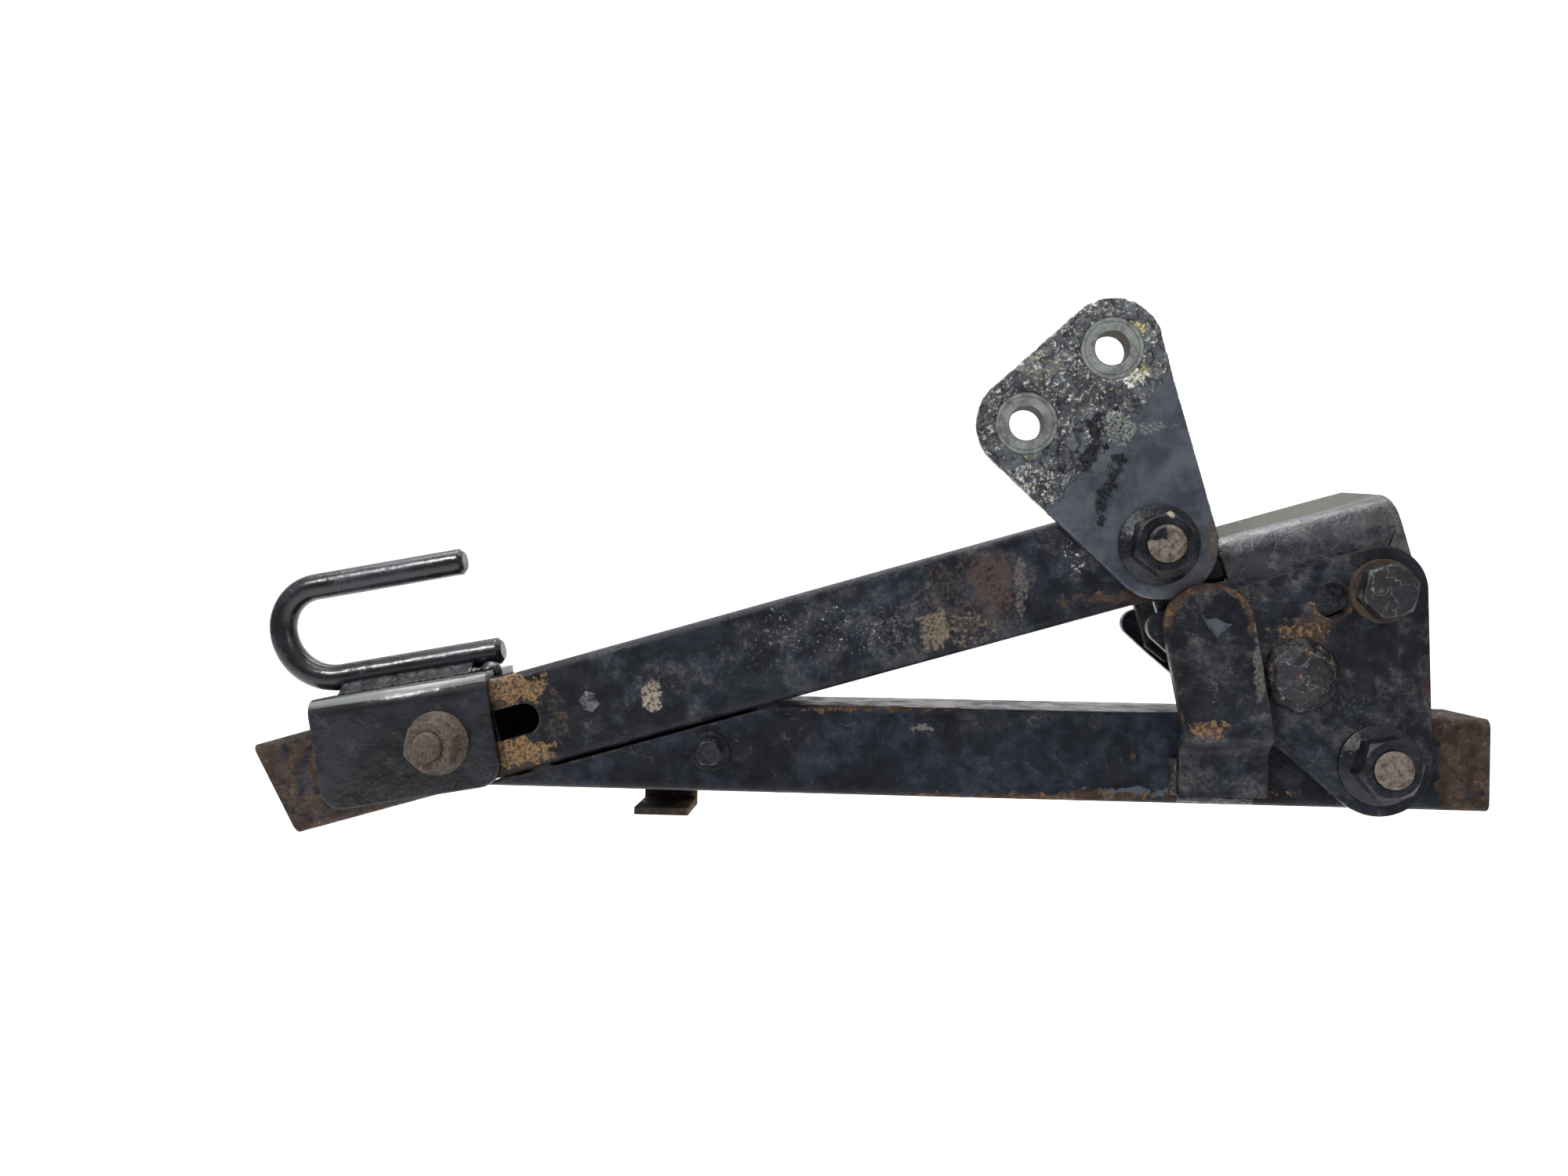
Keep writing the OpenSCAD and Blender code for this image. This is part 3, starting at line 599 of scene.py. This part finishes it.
def add_ear():
    """The ear plate under its thick coat, lumpy on the upper left and smooth towards the pivot."""
    pivot = middle("upper_pivot_nut")
    border = across("ear_plate", 0.53, 0.53)
    away = Vector((0.733, 0, -0.68))
    kept_even = 14.2 * MM
    offset = Vector((1.3, 2.1, 0.4))
    border_swing = 7 * MM
    border_width = 5 * MM
    swing_size = 0.010
    lump_size = 0.0036
    grain_size = 0.0016
    ridge_size = 0.0065

    def shift(point, normal):
        swing = border_swing * noise.noise(point / swing_size + offset)
        past_it = (point - border).dot(away) + swing
        thick = min(1, max(0, 0.5 - past_it / border_width))
        lump = noise.noise(point / lump_size + offset) + 0.6 * noise.noise(point / grain_size)
        ridge = 0.5 - abs(noise.noise(point / ridge_size))
        front = max(0, -normal.y)
        outward = thick * front * (0.60 * lump + 0.7 * ridge + 0.2) * MM
        rim = (1 - front) * 0.30 * MM * min(0.0, lump)
        if math.hypot(point.x - pivot.x, point.z - pivot.z) < kept_even:
            outward = 0
        return outward + rim

    def place(u, w, wide, tall, cover, tint, dull, seed):
        return stain_on("ear_plate", u, w, (wide, 9, tall), cover, tint, dull, 0.8, 0.004, 0.0010, seed)

    # The chalk and yellow patches are painted glints, standing in for light off the coat's glossy lumps.
    patches = [
        place(0.985, 0.163, 2.4, 13, 0.9, "rust", 0.8, 4),
        place(0.69, 0.895, 3.6, 2.2, 0.8, YELLOW, 0.4, 5),
        place(0.47, 0.475, 3.4, 3.6, 1.0, SOOT, 0.12, 7),
        place(0.60, 0.58, 5.5, 5.0, 0.7, GREY_GREEN, 0.30, 8),
        place(0.655, 0.735, 6.0, 2.6, 0.75, CHALK_AND_GLINT, 0.2, 9),
        place(0.70, 0.745, 4.0, 2.2, 0.5, YELLOW, 0.2, 13),
        place(0.745, 0.570, 6.5, 2.0, 0.55, GREY_GREEN, 0.2, 10),
        place(0.27, 0.79, 7.0, 5.0, 0.40, YELLOW, 0.2, 11),
        place(0.40, 0.80, 6.0, 6.0, 0.42, CHALK_AND_GLINT, 0.15, 14),
        place(0.22, 0.40, 9.0, 6.0, 0.45, CHALK_AND_GLINT, 0.15, 12),
        place(0.10, 0.62, 5.0, 9.0, 0.35, CHALK_AND_GLINT, 0.15, 15),
        place(0.55, 0.96, 9.0, 2.5, 0.42, CHALK_AND_GLINT, 0.15, 16),
    ]
    material = undercoat("undercoat", border, away, patches, seed=60)
    grown("ear_plate", "ear_coated", 0.45 * MM, shift, material)
    crack_line = ((0.60, 0.49), (0.58, 0.43), (0.54, 0.38), (0.515, 0.33), (0.51, 0.26))
    tear_line = ((0.60, 0.66), (0.50, 0.60), (0.50, 0.53), (0.44, 0.47), (0.38, 0.46))
    crack = [across("ear_plate", u, w) for u, w in crack_line]
    tear = [across("ear_plate", u, w) for u, w in tear_line]
    crumbs = painted_fastener("torn_paint", seed=61)
    torn_paint("ear_crack_crumbs", crack, 0.8 * MM, 1.5 * MM, 80, "ear", crumbs, 1)
    torn_paint("ear_tear_crumbs", tear, 1.5 * MM, 2.1 * MM, 90, "ear", crumbs, 2)


def crumb(mesh, foot_ring, top_ring):
    """The faces of a closed crumb between two rings of corners."""
    mesh.faces.new(foot_ring)
    mesh.faces.new(list(reversed(top_ring)))
    for k in range(len(foot_ring)):
        after = (k + 1) % len(foot_ring)
        mesh.faces.new((foot_ring[after], foot_ring[k], top_ring[k], top_ring[after]))


def made_object(name, mesh, material):
    """An object in the scene from a bmesh, which is used up."""
    data = bpy.data.meshes.new(name)
    mesh.to_mesh(data)
    mesh.free()
    data.materials.append(material)
    made = bpy.data.objects.new(name, data)
    bpy.context.scene.collection.objects.link(made)
    return made


def torn_paint(name, path, spread, size, count, body, material, seed):
    """Small hard crumbs of torn paint standing up unevenly along a line on a front face."""
    tallest = 1.3 * MM
    sunk = 0.5 * MM
    chance = random.Random(seed)
    mesh = bmesh.new()
    for _ in range(count):
        share = chance.random() * (len(path) - 1)
        step = min(int(share), len(path) - 2)
        at = path[step].lerp(path[step + 1], share - step)
        at += Vector((chance.gauss(0, spread), 0, chance.gauss(0, spread)))
        corners = chance.choice((3, 4, 4, 5))
        start = chance.random() * math.tau
        lean = Vector((chance.uniform(-1, 1), 0, chance.uniform(-1, 1)))
        reach = size * chance.uniform(0.4, 1.0)
        height = tallest * chance.uniform(0.3, 1.0)
        foot_ring = []
        top_ring = []
        for k in range(corners):
            angle = start + math.tau * k / corners
            out = Vector((math.cos(angle), 0, math.sin(angle))) * reach * chance.uniform(0.5, 1.0)
            rise = height * (0.6 + 0.4 * lean.dot(out) / reach)
            foot_ring.append(mesh.verts.new(at + out + Vector((0, sunk, 0))))
            top_ring.append(mesh.verts.new(at + 0.8 * out - Vector((0, rise, 0))))
        crumb(mesh, foot_ring, top_ring)
    bmesh.ops.recalc_face_normals(mesh, faces=mesh.faces)
    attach(made_object(name, mesh, material), body)


def blister(name, at, outline, height, top, body, material):
    """A raised flake of paint with an outline in mm about a point, its top smaller by a share."""
    mesh = bmesh.new()
    sunk = 0.3 * MM
    foot_ring = [mesh.verts.new(at + Vector((x * MM, sunk, z * MM))) for x, z in outline]
    top_ring = []
    for i, (x, z) in enumerate(outline):
        rise = height * (0.55 + 0.45 * math.sin(2.1 * i))
        top_ring.append(mesh.verts.new(at + Vector((x * top * MM, -rise, z * top * MM))))
    crumb(mesh, foot_ring, top_ring)
    bmesh.ops.recalc_face_normals(mesh, faces=mesh.faces)
    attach(made_object(name, mesh, material), body)


def add_flakes():
    """The loose flakes of paint on the tab and the upper tube."""
    greyed = [(lambda s: s.fade(s.noise(0.004), 0.3, 0.5), SLATE, 0.5)]
    grey = smooth_paint("flake_paint", greyed, seed=62)
    torn = (
        (-5.5, 3.8), (-3.6, 1.2), (0.0, 1.6), (3.2, -0.4),
        (5.2, -0.6), (2.0, -3.4), (0.2, -5.2), (-2.2, -2.6),
    )
    blister("tab_flake", across("stop_tab", 0.49, 0.82), torn, 0.8 * MM, 0.86, "lower_arm", grey)
    facets = ((-4.4, 0.4), (-1.3, 4.2), (3.0, 3.0), (4.8, -0.8), (1.6, -4.2), (-3.0, -3.0))
    clouded = [(lambda s: s.fade(s.noise(0.003), 0.4, 0.6), SLATE, 0.3)]
    black = smooth_paint("blister_paint", clouded, seed=63, shine=0.6)
    at = across("upper_tube", 0.359, 0.395)
    blister("tube_blister", at, facets, 1.2 * MM, 0.42, "main_arm", black)


def soften(node, width):
    """Rounds a CAD node's sharp edges by a little."""
    weld(NODES[node])
    bevel = NODES[node].modifiers.new("round", "BEVEL")
    bevel.width = width
    bevel.segments = 2
    bevel.limit_method = "ANGLE"
    bevel.angle_limit = SHARP_EDGE
    bevel.harden_normals = True


def dress_upper_tube():
    """The upper tube's paint: mud, chalk and scuffs, rusty round the slot and bare at the left end."""
    def stain(u, w, wide, tall, cover, tint, seed, ragged=0.7):
        return stain_on("upper_tube", u, w, (wide, 5, tall), cover, tint, 0.75, ragged, 0.005, 0.0012, seed)

    patches = [
        stain(0.755, 0.69, 16, 15, 0.55, BROWN, 20, 0.5),
        stain(0.772, 0.73, 7, 11, 0.70, RED_BROWN, 22, 0.6),
        stain(0.800, 0.715, 2.2, 11, 0.70, DUST, 23, 0.3),
        stain(0.713, 0.590, 5, 7, 0.75, MUD, 21),
        stain(0.665, 0.600, 13, 9, 0.45, DUST, 25),
        stain(0.745, 0.585, 8, 6, 0.55, MUD, 19),
        stain(0.424, 0.402, 3.4, 6, 0.80, BEIGE, 24),
        stain(0.430, 0.430, 8, 5, 0.40, DUST, 18),
        stain(0.56, 0.54, 22, 10, 0.30, DUST, 17),
        stain(0.854, 0.795, 3, 6, 0.35, CHALK_AND_GLINT, 16, 1.0),
        stain(0.275, 0.445, 14, 5, 0.75, OCHRE, 15),
        stain(0.285, 0.245, 12, 5, 0.75, OCHRE, 14),
        stain(0.325, 0.345, 4, 8, 0.55, BROWN, 13),
        stain(0.60, 0.60, 26, 8, 0.22, CHALK_AND_GLINT, 12),
    ]
    slot_border = across("upper_tube", 0.300, 0.3)
    end_border = across("upper_tube", 0.0, 0.1) + Vector((4 * MM, 0, 0))
    rubbed_edge = across("upper_tube", 0.93, 0.665)

    def bare(s):
        by_slot = s.past(slot_border, (-1, 0, -0.24), 4 * MM, 16 * MM, 0.006, 26)
        broken = s.fade(s.noise(0.004, 4, 0.7, seed=27), 0.40, 0.55)
        by_end = s.past(end_border, (-1, 0, 0.45), 3 * MM, 16 * MM, 0.006, 28)
        low_edge = s.spot(rubbed_edge, (22 * MM, 4 * MM, 2.6 * MM), 0.9, 0.004, 29)
        return s.either(s.either(s.both(by_slot, broken), by_end), low_edge)

    paint = worn_paint("tube_paint_upper", patches, 0.7, 0.7, 0.7, seed=1, bare=bare, shine=0.13)
    dress("upper_tube", paint)


def dress_lower_tube():
    """The lower tube's darker paint, with rusty edges and a bare rusty right end."""
    patches = [
        spot_on("lower_tube", 0.657, 0.51, (1.0, 4, 1.3), "rust", 0.8, 0.5, 0.002, 31),
        spot_on("lower_tube", 0.66, 0.22, (16, 4, 1.6), SLATE, 0.6, 1.2, 0.004, 32),
        spot_on("lower_tube", 0.45, 0.78, (2.5, 4, 1.2), DUST, 0.6, 1.2, 0.003, 33),
        spot_on("lower_tube", 0.44, 0.965, (34, 5, 1.7), "rust", 0.8, 0.9, 0.004, 36),
        spot_on("lower_tube", 0.53, 0.19, (70, 4, 1.6), "rust", 0.8, 1.3, 0.005, 37),
    ]
    end_border = across("lower_tube", 0.945, 0.5)

    def bare(s):
        end = s.past(end_border, (1, 0, 0), 2 * MM, 9 * MM, 0.006, 34)
        return s.both(end, s.fade(s.noise(0.003, 4, 0.7, seed=35), 0.36, 0.46))

    paint = worn_paint("tube_paint_lower", patches, 0.8, 0.3, 0.3, seed=2, bare=bare, shine=0.08)
    dress("lower_tube", paint)


def dress_side_plates():
    """The side plates' paint, the front one with rust about its hole and rivet."""
    def stain(u, w, size, cover, tint, dull, ragged, grain, speck, seed):
        return stain_on("side_plate_front", u, w, size, cover, tint, dull, ragged, grain, speck, seed)

    patches = [
        stain(0.57, 0.70, (9, 4, 4), 0.8, "rust", 0.8, 0.9, 0.004, 0.0011, 41),
        stain(0.66, 0.78, (7, 9, 4), 0.8, "rust", 0.8, 0.7, 0.003, 0.0011, 42),
        stain(0.50, 0.62, (6, 4, 8), 0.6, "rust", 0.8, 0.9, 0.004, 0.0011, 43),
        stain(0.55, 0.69, (8, 4, 2.5), 0.6, OCHRE, 0.8, 1.1, 0.004, 0.0016, 46),
        stain(0.63, 0.775, (5, 9, 2.5), 0.6, OCHRE, 0.8, 0.9, 0.003, 0.0016, 47),
        stain(0.42, 0.52, (4, 4, 9), 0.5, OCHRE, 0.8, 0.9, 0.004, 0.0016, 48),
        stain(0.72, 0.40, (6, 4, 4), 0.5, SLATE, 0.5, 1.0, 0.004, 0.0011, 44),
        stain(0.985, 0.48, (2, 4, 4), 0.8, "rust", 0.8, 0.7, 0.003, 0.0011, 45),
    ]
    dress("side_plate_front", worn_paint("plate_paint_front", patches, 0.35, 0.8, 0.5, seed=3))
    dress("side_plate_rear", worn_paint("plate_paint_rear", edge=0.5, dust=0.5, chips=0.5, seed=4))


def dress_stop_tab():
    """The tab's paint, with a rusty rim round its upper end."""
    round_end = across("stop_tab", 0.435, 0.80)
    rim_border = across("stop_tab", 0.435, 0.77)

    def rim(s):
        from_it = s.vector("MULTIPLY", s.vector("SUBTRACT", s.where, tuple(round_end)), (1, 0, 1))
        radius = s.vector("LENGTH", from_it, result=1)
        uneven = s.calc("SUBTRACT", s.noise(0.004, 4, 0.7, seed=53), 0.5)
        ragged = s.calc("ADD", radius, s.times(uneven, 5 * MM))
        ring = s.fade(ragged, 11.6 * MM, 12.2 * MM)
        return s.both(ring, s.past(rim_border, (0.1, 0, 1), 2 * MM, 5 * MM, 0.006, 54))

    patches = [
        (rim, "rust", 0.75),
        spot_on("stop_tab", 0.36, 0.34, (4.5, 4, 2.2), "rust", 0.8, 0.8, 0.004, 51),
        stain_on("stop_tab", 0.87, 0.62, (1.6, 6, 11), 0.8, DUST, 0.6, 0.7, 0.003, 0.0011, 52),
        stain_on("stop_tab", 0.40, 0.33, (7, 4, 3), 0.6, OCHRE, 0.8, 0.9, 0.004, 0.0016, 55),
    ]
    dress("stop_tab", worn_paint("plate_paint_tab", patches, 0.8, 0.8, 0.4, gloss=0.34, seed=5))


def dress_latch_lug():
    """The lug's paint, gone to rust low down."""
    bare_border = across("latch_lug", 0.5, 0.20)

    def bare(s):
        low_down = s.past(bare_border, (0, 0, -1), 2 * MM, 3 * MM, 0.005, 66)
        return s.both(low_down, s.fade(s.noise(0.004, 4, 0.7, seed=67), 0.36, 0.46))

    patches = [stain_on("latch_lug", 0.80, 0.08, (16, 30, 4), 0.7, OCHRE, 0.8, 0.6, 0.004, 0.0011, 68)]
    dress("latch_lug", worn_paint("plate_paint_lug", patches, 0.9, 0.4, 0.9, seed=6, bare=bare))


def dress_channel():
    """The channel's glossier paint, with an olive film of dirt on its top."""
    top_normal = (-0.237, -0.08, 0.968)

    def film(s):
        broken = s.fade(s.noise(0.003, 5, 0.7, seed=61), 0.15, 0.45)
        return s.both(s.facing(top_normal, 0.975, 0.990), broken)

    patches = [
        (film, OLIVE, 0.9),
        stain_on("channel_cover", 0.94, 0.80, (2.5, 6, 4), 0.6, DUST, 0.7, 1.0, 0.002, 0.0011, 62),
    ]
    paint = worn_paint("plate_paint_channel", patches, 0.5, 0.9, 0.3, gloss=0.30, seed=7, shine=0.6)
    dress("channel_cover", paint)


def dress_hook():
    """The saddle's and the rod's smooth paint, with a pale highlight painted along the saddle's bend."""
    bend_normal = (-0.168, -0.707, 0.687)
    cracked = across("hook_saddle", 0.42, 0.42)

    # Painted highlight: a pale band along the bend where it faces up and forward, with glossier paint.
    def painted_bend_highlight(s):
        return s.times(s.facing(bend_normal, 0.93, 0.985), 0.6)

    def cracks(s):
        about = s.spot(cracked, (7 * MM, 4 * MM, 9 * MM), 0.5, 0.005, 63)
        return s.both(about, s.contour(0.004, 0.012, 64))

    patches = [
        (painted_bend_highlight, ZINC_AND_HIGHLIGHT, 0.25),
        (cracks, SOOT, 0.2),
        stain_on("hook_saddle", 0.36, 0.12, (16, 4, 3), 0.35, BROWN, 0.6, 1.0, 0.005, 0.0011, 65),
    ]
    dress("hook_saddle", smooth_paint("smooth_paint_saddle", patches, seed=8, shine=0.5))
    dress("hook_rod", smooth_paint("smooth_paint_rod", seed=9, shine=0.45))


def dress_pivots():
    """The two pivot bolts' painted threads with bare ends, and their nuts."""
    bare_depth = 1.6 * MM
    upper_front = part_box("upper_pivot_bolt")[0].y + bare_depth
    lower_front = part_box("lower_pivot_bolt")[0].y + bare_depth
    bolt = middle("upper_pivot_bolt")

    def upper_end(s):
        front = s.past((0, upper_front, 0), (0, -1, 0), 0.2 * MM)
        left = s.past((bolt.x, 0, 0), (-1, 0, 0), 0.4 * MM, 2.5 * MM, 0.002, 71)
        high = s.past((0, 0, bolt.z + 1 * MM), (0, 0, 1), 0.4 * MM, 2.5 * MM, 0.002, 72)
        return s.both(front, s.calc("SUBTRACT", 1.0, s.both(left, high)))

    def lower_end(s):
        return s.past((0, lower_front, 0), (0, -1, 0), 0.2 * MM)

    upper_chip = [spot_on("upper_pivot_nut", 0.57, 0.86, (1.4, 3, 1.2), BEIGE, 0.6, 0.6, 0.002, 73)]
    lower_chip = [spot_on("lower_pivot_nut", 0.12, 0.70, (1.5, 3, 1.2), YELLOW, 0.6, 0.6, 0.002, 74)]
    dress("upper_pivot_bolt", painted_fastener("painted_fastener_stud_upper", upper_end, seed=10))
    dress("upper_pivot_nut", painted_fastener("painted_fastener_nut_upper", None, upper_chip, 11))
    dress("lower_pivot_bolt", painted_fastener("painted_fastener_stud_lower", lower_end, seed=12))
    dress("lower_pivot_nut", painted_fastener("painted_fastener_nut_lower", None, lower_chip, 13))


def dress_small_parts():
    """The other fasteners, the plain steel in the joints and the ear's two bushes."""
    for i, node in enumerate(("latch_bolt", "latch_nut", "clamp_nut")):
        dress(node, painted_fastener("painted_fastener_" + node, seed=14 + i))
    for i, (node, pale) in enumerate((("hook_bolt", 0.5), ("hook_nut", 0.5), ("clamp_washer", 0.12))):
        dress(node, rusty_fastener("rusty_fastener_" + node, 20 + i, pale))
    dress("clamp_bolt", weld_paint("painted_fastener_clamp_bolt", seed=22, spots=0.5))
    for i, node in enumerate(("hook_slide", "upper_pivot_sleeve", "lower_pivot_sleeve", "ear_washer")):
        dress(node, bare_steel("bare_steel_" + node, 30 + i))
    low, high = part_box("ear_bushes")
    upper_hole = Vector((high.x - BUSH_RADIUS, low.y, high.z - BUSH_RADIUS))
    lower_hole = Vector((low.x + BUSH_RADIUS, low.y, low.z + BUSH_RADIUS))
    dress("ear_bushes", zinc("zinc_bushes", (upper_hole, lower_hole), BUSH_BORE_RADIUS, 40))


def add_welds():
    """The welds and the cross rivet, lumpy under their paint."""
    rivet = weld_paint("weld_rivet", seed=50, spots=0.9)
    grown("cross_rivet", "cross_rivet_lumpy", 0.45 * MM, lumpy(7.5 * MM, 1.3 * MM, 1), rivet)
    fillet = smooth_paint("weld_rod", seed=51, shine=0.45)
    grown("rod_weld", "rod_weld_lumpy", 0.35 * MM, lumpy(6 * MM, 0.35 * MM, 2), fillet)
    tab = weld_paint("weld_tab", seed=52, spots=0.9)
    grown("tab_weld", "tab_weld_lumpy", 0.30 * MM, lumpy(3 * MM, 0.4 * MM, 3), tab)
    channel = weld_paint("weld_channel", seed=53, spots=0.9)
    grown("channel_weld", "channel_weld_lumpy", 0.30 * MM, lumpy(3 * MM, 0.4 * MM, 4), channel)


# ---------------------------------------------------------------- the stage

def add_stage():
    """A pale floor that curves up into a backdrop, far enough down for the lower arm to swing."""
    s = Surface("pale_floor")
    grain = s.noise(0.05, 3, 0.5)
    colour = s.mix(grain, FLOOR_GREY, FLOOR_WHITE)
    material = s.finish(colour, 0.9, specular=0.1)
    arm_low, arm_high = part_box("lower_tube")
    swing_room = 1.1 * (arm_high.x - arm_low.x)
    level = CAD_BOX[0].z - swing_room
    floor_front = -2.5
    floor_back = 1.2
    bend = 0.8
    wall_top = 3.0
    half_width = 5.0
    steps = 16
    profile = [(floor_front, 0.0), (floor_back, 0.0)]
    for i in range(1, steps + 1):
        turn = math.pi / 2 * i / steps
        profile.append((floor_back + bend * math.sin(turn), bend * (1 - math.cos(turn))))
    profile.append((floor_back + bend, wall_top))
    mesh = bmesh.new()
    sides = (-half_width, half_width)
    rows = [[mesh.verts.new((x, y, level + z)) for x in sides] for y, z in profile]
    for near, far in zip(rows, rows[1:]):
        mesh.faces.new((near[0], near[1], far[1], far[0]))
    floor = made_object("floor", mesh, material)
    for polygon in floor.data.polygons:
        polygon.use_smooth = True


def add_light(name, place, size, power, target):
    """A rectangular soft light aimed at a target."""
    lamp = bpy.data.lights.new(name, "AREA")
    lamp.shape = "RECTANGLE"
    lamp.size, lamp.size_y = size
    lamp.energy = power
    holder = bpy.data.objects.new(name, lamp)
    holder.location = place
    holder.rotation_euler = (Vector(target) - Vector(place)).to_track_quat("-Z", "Y").to_euler()
    bpy.context.scene.collection.objects.link(holder)


def add_lights():
    """Soft light from overhead, the front and onto the backdrop, and a pale room, brighter above."""
    low, high = CAD_BOX
    centre = (low + high) / 2
    add_light("overhead", (-0.15, 0.10, 1.25), (1.2, 0.9), 15, centre)
    add_light("front_left", (-0.70, -0.85, 0.95), (0.30, 0.30), 15, centre)
    add_light("front_right", (1.2, -1.2, 0.7), (0.6, 0.6), 4, centre)
    backdrop = (0.0, 1.9, 0.4)
    add_light("backdrop_wash", (0.0, 0.6, 2.2), (3.0, 1.0), 60, backdrop)
    low_part = 0.05
    high_part = 0.8
    low_strength = 0.22
    high_strength = 0.80
    world = bpy.data.worlds.new("room")
    world.use_nodes = True
    tree = world.node_tree
    way = tree.nodes.new("ShaderNodeTexCoord")
    parts = tree.nodes.new("ShaderNodeSeparateXYZ")
    level = tree.nodes.new("ShaderNodeMapRange")
    level.inputs["From Min"].default_value = low_part
    level.inputs["From Max"].default_value = high_part
    level.inputs["To Min"].default_value = low_strength
    level.inputs["To Max"].default_value = high_strength
    tree.links.new(way.outputs["Generated"], parts.inputs[0])
    tree.links.new(parts.outputs["Z"], level.inputs["Value"])
    tree.links.new(level.outputs[0], tree.nodes["Background"].inputs["Strength"])
    tree.nodes["Background"].inputs["Color"].default_value = (1.0, 1.0, 1.0, 1.0)
    bpy.context.scene.world = world


def add_camera():
    """A camera in front of the arm, a little to its right, level, and rolled slightly."""
    low, high = CAD_BOX
    centre = (low + high) / 2
    yaw = math.radians(4.41)
    pitch = math.radians(0.184)
    roll = math.radians(1.839)
    level_ahead = Vector((-math.sin(yaw), math.cos(yaw), 0))
    ahead = level_ahead * math.cos(pitch) - Vector((0, 0, math.sin(pitch)))
    right = Vector((math.cos(yaw), math.sin(yaw), 0))
    up = right.cross(ahead)
    side = right * math.cos(roll) - up * math.sin(roll)
    above = up * math.cos(roll) + right * math.sin(roll)
    camera = bpy.data.cameras.new("camera")
    camera.sensor_width = 36.0
    camera.lens = 28.315
    camera.clip_start = 0.01
    holder = bpy.data.objects.new("camera", camera)
    turn = Matrix((side, above, -ahead)).transposed().to_4x4()
    from_centre = Vector((12.67 * MM, -431.24 * MM, -4.05 * MM))
    holder.matrix_world = Matrix.Translation(centre + from_centre) @ turn
    bpy.context.scene.collection.objects.link(holder)
    bpy.context.scene.camera = holder


dress_upper_tube()
dress_lower_tube()
dress_side_plates()
dress_stop_tab()
dress_latch_lug()
dress_channel()
dress_hook()
dress_pivots()
dress_small_parts()
for node, width in EDGE_ROUNDINGS.items():
    soften(node, width)
add_flakes()
add_ear()
add_welds()
add_stage()
add_lights()
add_camera()
bpy.context.scene.view_settings.view_transform = "Standard"
